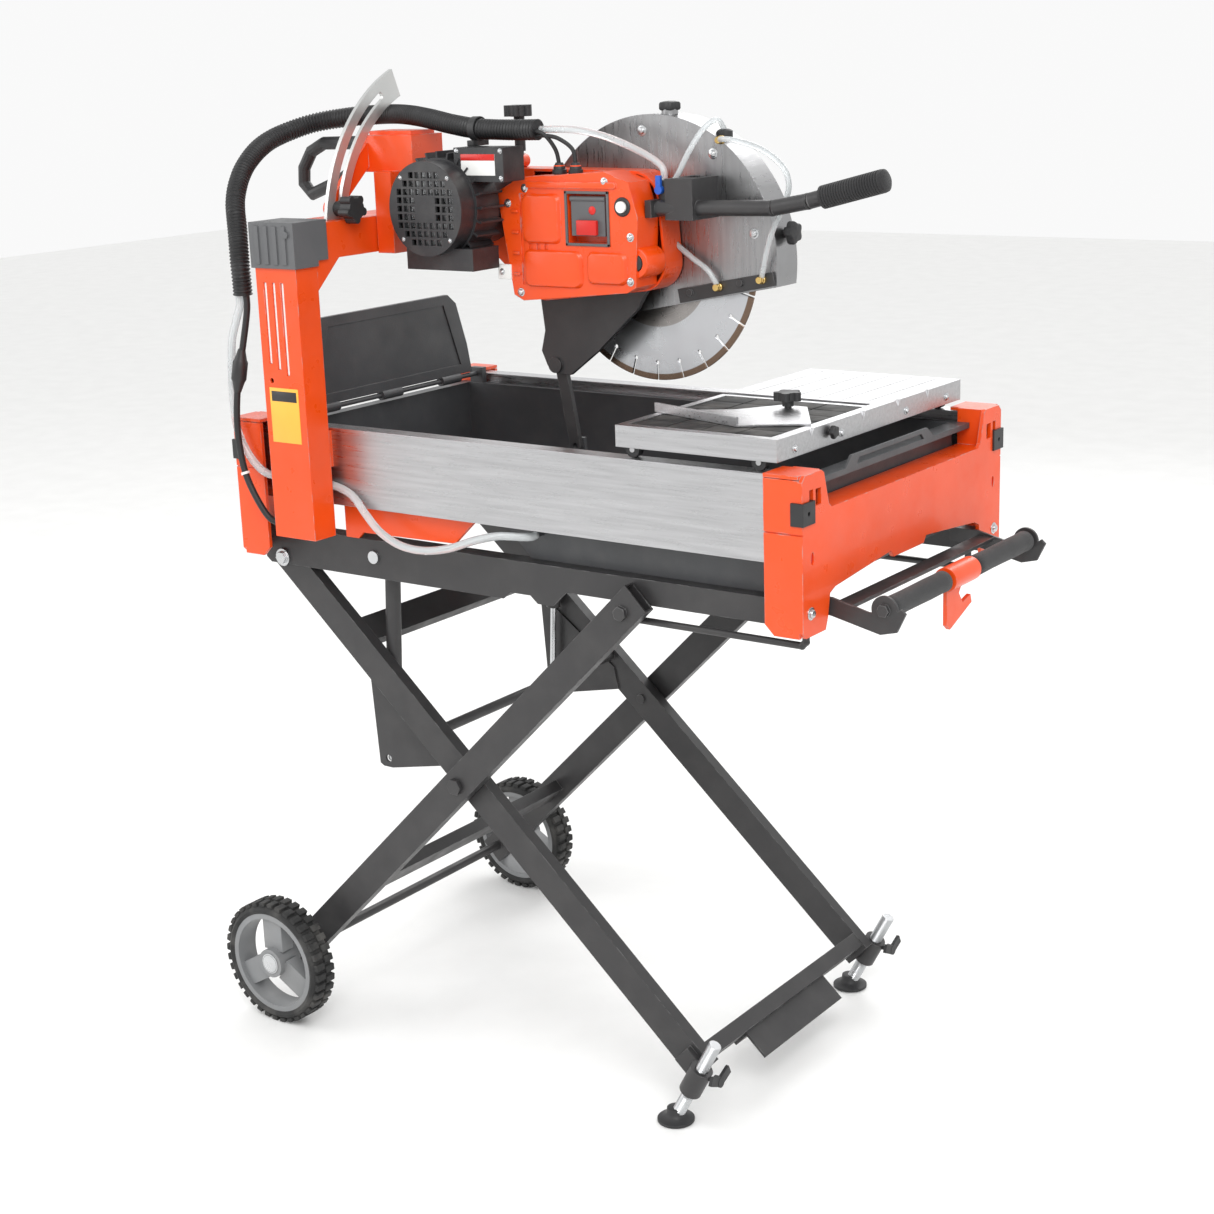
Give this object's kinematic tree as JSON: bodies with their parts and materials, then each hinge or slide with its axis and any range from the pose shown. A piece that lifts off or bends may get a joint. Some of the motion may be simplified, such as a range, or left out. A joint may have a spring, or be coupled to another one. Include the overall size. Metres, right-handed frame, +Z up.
{
  "type": "masonry saw",
  "caption": "Bench masonry saw on a folding wheeled scissor stand, with a tilting belt-driven blade head, water pan and a rolling cutting table",
  "frame": {"origin": "on the floor, under the middle of the machine", "axes": "+X towards the operator's end, +Y away from the column side, +Z up"},
  "size_m": [1.1856, 0.693, 1.4985],
  "materials": {
    "orange_paint": "satin orange powder coat",
    "aluminium": "brushed aluminium",
    "black_paint": "dark grey powder coat",
    "black_plastic": "moulded black plastic",
    "grey_plastic": "moulded grey plastic",
    "steel": "zinc plated steel",
    "rim_plastic": "grey plastic",
    "tyre": "solid rubber",
    "foam": "foam rubber sleeve",
    "motor_black": "black enamelled casting",
    "hose_clear": "clear hose",
    "cable_black": "black sheath",
    "valve_blue": "blue plastic",
    "button_white": "white plastic"
  },
  "bodies": {
    "base": {"side_rails": "aluminium", "front_panel": "orange_paint", "rear_panel": "orange_paint", "corner_plugs": "black_plastic", "frame_bolts": "steel", "water_pan": "grey_plastic", "column": "orange_paint", "column_cap": "grey_plastic", "arm": "orange_paint", "arc_plate": "aluminium", "gussets": "orange_paint", "stand_rails": "black_paint", "guide_rods": "black_paint", "front_bracket": "black_paint", "front_grips": "foam", "conduit": "cable_black", "power_cable": "cable_black", "pump_hose": "hose_clear"},
    "leg_b": {"hinged_legs": "black_paint"},
    "leg_a": {"wheel_legs": "black_paint"},
    "wheel_near": {"tyre_near": "tyre", "rim_near": "rim_plastic"},
    "wheel_far": {"tyre_far": "tyre", "rim_far": "rim_plastic"},
    "levelling_near": {"foot_near": "steel"},
    "levelling_far": {"foot_far": "steel"},
    "lock_near": {"wing_near": "black_plastic"},
    "lock_far": {"wing_far": "black_plastic"},
    "spring_near": {"strut_tube_near": "black_paint"},
    "spring_far": {"strut_tube_far": "black_paint"},
    "ram_near": {"strut_rod_near": "steel"},
    "ram_far": {"strut_rod_far": "steel"},
    "flap": {"splash_flap": "grey_plastic"},
    "hook": {"latch_hook": "orange_paint"},
    "table": {"cart_table": "aluminium"},
    "front_wheels": {"rollers_front": "black_plastic"},
    "rear_wheels": {"rollers_rear": "black_plastic"},
    "stop": {"angle_stop": "aluminium"},
    "stop_clamp": {"stop_knob": "black_plastic"},
    "bevel": {"carriage": "orange_paint", "carry_handle": "grey_plastic"},
    "bevel_clamp": {"bevel_knob": "black_plastic"},
    "head": {"motor_housing": "motor_black", "belt_housing": "orange_paint", "belt_cover": "orange_paint", "blade_guard": "aluminium", "guard_strip": "black_paint", "pivot_plate": "black_paint", "head_bar": "black_paint", "head_grip": "foam", "drive_belt": "cable_black", "feed_hose": "hose_clear"},
    "belt_screw": {"top_knob": "black_plastic"},
    "rotor": {"motor_rotor": "steel"},
    "cutter": {"spindle": "steel", "saw_blade": "steel"},
    "switch": {"switch_flap": "black_plastic"},
    "button": {"stop_button": "button_white"},
    "valve": {"valve_lever": "valve_blue"},
    "link": {"link_strut": "black_paint"}
  },
  "joints": [
    {"name": "fold", "type": "hinge", "parent": "base", "child": "leg_b", "pos_m": [-0.485, 0, 0.763], "axis": [0, -1, 0], "range_deg": [0, 38]},
    {"name": "scissor", "type": "hinge", "parent": "leg_b", "child": "leg_a", "pos_m": [-0.13741, 0, 0.45112], "axis": [0, 1, 0], "range_deg": [-0.5, 78.78]},
    {"name": "wheel_spin_near", "type": "hinge", "parent": "leg_a", "child": "wheel_near", "pos_m": [-0.48991, -0.3225, 0.1029], "axis": [0, 1, 0], "continuous": true},
    {"name": "wheel_spin_far", "type": "hinge", "parent": "leg_a", "child": "wheel_far", "pos_m": [-0.48991, 0.3225, 0.1029], "axis": [0, 1, 0], "continuous": true},
    {"name": "foot_slide_near", "type": "slide", "parent": "leg_b", "child": "levelling_near", "axis": [0.4695, 0, 0.8829], "range_m": [0, 0.02]},
    {"name": "foot_slide_far", "type": "slide", "parent": "leg_b", "child": "levelling_far", "axis": [0.4695, 0, 0.8829], "range_m": [0, 0.02]},
    {"name": "wing_turn_near", "type": "hinge", "parent": "leg_b", "child": "lock_near", "pos_m": [0.31, -0.26, 0.084], "axis": [1, 0, 0], "continuous": true},
    {"name": "wing_turn_far", "type": "hinge", "parent": "leg_b", "child": "lock_far", "pos_m": [0.31, 0.26, 0.084], "axis": [1, 0, 0], "continuous": true},
    {"name": "strut_swing_near", "type": "hinge", "parent": "base", "child": "spring_near", "pos_m": [-0.293, -0.206, 0.785], "axis": [0, -1, 0], "range_deg": [-0.5, 43.85]},
    {"name": "strut_swing_far", "type": "hinge", "parent": "base", "child": "spring_far", "pos_m": [-0.293, 0.206, 0.785], "axis": [0, -1, 0], "range_deg": [-0.5, 43.85]},
    {"name": "strut_stroke_near", "type": "slide", "parent": "spring_near", "child": "ram_near", "axis": [-0.0596, 0, -0.9982], "range_m": [-0.1243, 0.0005]},
    {"name": "strut_stroke_far", "type": "slide", "parent": "spring_far", "child": "ram_far", "axis": [-0.0596, 0, -0.9982], "range_m": [-0.1243, 0.0005]},
    {"name": "flap_fold", "type": "hinge", "parent": "base", "child": "flap", "pos_m": [-0.462, 0, 0.986], "axis": [0, 1, 0], "range_deg": [0, 80]},
    {"name": "hook_swing", "type": "hinge", "parent": "base", "child": "hook", "pos_m": [0.562, 0, 0.808], "axis": [0, 1, 0], "range_deg": [-40, 40]},
    {"name": "table_travel", "type": "slide", "parent": "base", "child": "table", "axis": [1, 0, 0], "range_m": [-0.22, 0.012]},
    {"name": "front_roll", "type": "hinge", "parent": "table", "child": "front_wheels", "pos_m": [0.4, 0, 0.9952], "axis": [0, 1, 0], "range_deg": [-1150, 70]},
    {"name": "rear_roll", "type": "hinge", "parent": "table", "child": "rear_wheels", "pos_m": [0.2, 0, 0.9952], "axis": [0, 1, 0], "range_deg": [-1150, 70]},
    {"name": "stop_turn", "type": "hinge", "parent": "table", "child": "stop", "pos_m": [0.332, -0.068, 1.03], "axis": [0, 0, 1], "range_deg": [-12, 12]},
    {"name": "stop_knob_turn", "type": "hinge", "parent": "stop", "child": "stop_clamp", "pos_m": [0.332, -0.068, 1.04], "axis": [0, 0, 1], "continuous": true},
    {"name": "bevel_tilt", "type": "hinge", "parent": "base", "child": "bevel", "pos_m": [-0.3, 0.025, 1.252], "axis": [-1, 0, 0], "range_deg": [0, 45], "deforming": ["conduit"]},
    {"name": "bevel_knob_turn", "type": "hinge", "parent": "bevel", "child": "bevel_clamp", "pos_m": [-0.322, -0.21416, 1.30283], "axis": [1, 0, 0], "continuous": true},
    {"name": "plunge", "type": "hinge", "parent": "bevel", "child": "head", "pos_m": [-0.276, -0.03, 1.342], "axis": [0, 1, 0], "range_deg": [0, 10]},
    {"name": "top_knob_turn", "type": "hinge", "parent": "head", "child": "belt_screw", "pos_m": [-0.139, -0.04, 1.43], "axis": [0, 0, 1], "continuous": true},
    {"name": "motor_spin", "type": "hinge", "parent": "head", "child": "rotor", "pos_m": [-0.196, -0.1, 1.303], "axis": [0, 1, 0], "continuous": true},
    {"name": "blade_spin", "type": "hinge", "parent": "head", "child": "cutter", "pos_m": [0.059, 0.016, 1.215], "axis": [0, 1, 0], "continuous": true},
    {"name": "switch_lift", "type": "hinge", "parent": "head", "child": "switch", "pos_m": [0.03, -0.106, 1.314], "axis": [-1, 0, 0], "range_deg": [0, 70]},
    {"name": "button_press", "type": "slide", "parent": "head", "child": "button", "axis": [0, 1, 0], "range_m": [0, 0.003], "stiffness_N_per_m": 300},
    {"name": "valve_turn", "type": "hinge", "parent": "head", "child": "valve", "pos_m": [0.13, -0.073, 1.325], "axis": [0, -1, 0], "range_deg": [0, 90]},
    {"name": "link_swing", "type": "hinge", "parent": "head", "child": "link", "pos_m": [-0.086, -0.031, 1.062], "axis": [0, -1, 0], "range_deg": [-0.5, 38]}
  ],
  "couplings": [
    {"joint": "scissor", "follows": "fold", "ratio": 2.0601},
    {"joint": "strut_swing_near", "follows": "fold", "ratio": 1.1408},
    {"joint": "strut_swing_far", "follows": "fold", "ratio": 1.1408},
    {"joint": "strut_stroke_near", "follows": "fold", "m_per_rad": -0.18598},
    {"joint": "strut_stroke_far", "follows": "fold", "m_per_rad": -0.18598},
    {"joint": "front_roll", "follows": "table_travel", "rad_per_m": 90.909},
    {"joint": "rear_roll", "follows": "table_travel", "rad_per_m": 90.909},
    {"joint": "blade_spin", "follows": "motor_spin", "ratio": 1},
    {"joint": "link_swing", "follows": "plunge", "ratio": 3.75}
  ]
}
